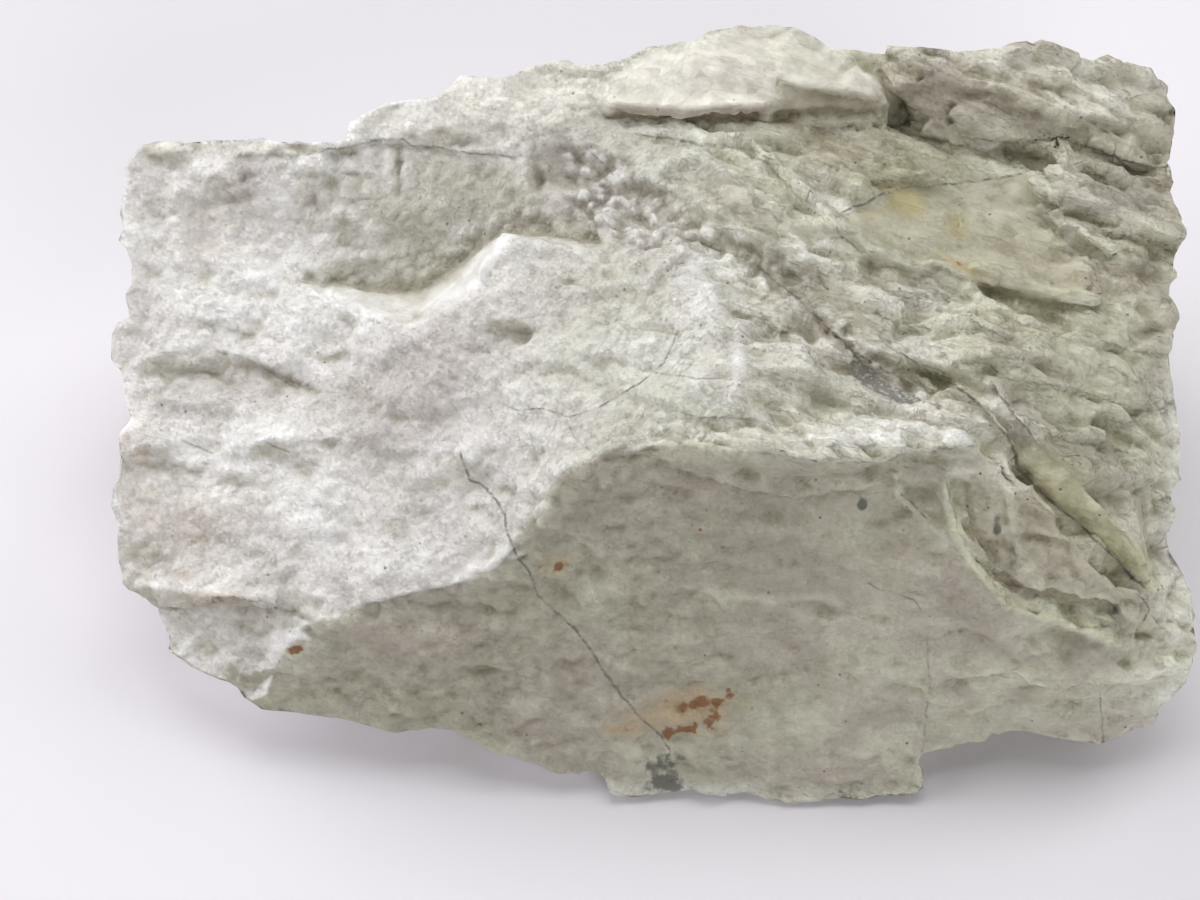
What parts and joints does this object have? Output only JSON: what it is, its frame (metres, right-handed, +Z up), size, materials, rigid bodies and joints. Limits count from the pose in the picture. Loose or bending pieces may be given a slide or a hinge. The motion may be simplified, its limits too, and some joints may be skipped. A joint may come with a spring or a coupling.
{
  "type": "raw amblygonite stone",
  "caption": "Rough broken block of raw amblygonite, a greenish-white mineral with fibrous cleavage steps, dark hairline cracks and rust stains, resting on a flat face.",
  "frame": {"origin": "on the supporting surface, under the middle of the stone's bounding box", "axes": "+X along the stone's length, to the right as seen from its steep front face; +Y from that front face to the back; +Z up"},
  "size_m": [0.1184, 0.0782, 0.047],
  "materials": {
    "mineral": "matt to slightly pearly on fresh cleavage"
  },
  "bodies": {
    "root": {"amblygonite": "mineral"}
  },
  "joints": []
}
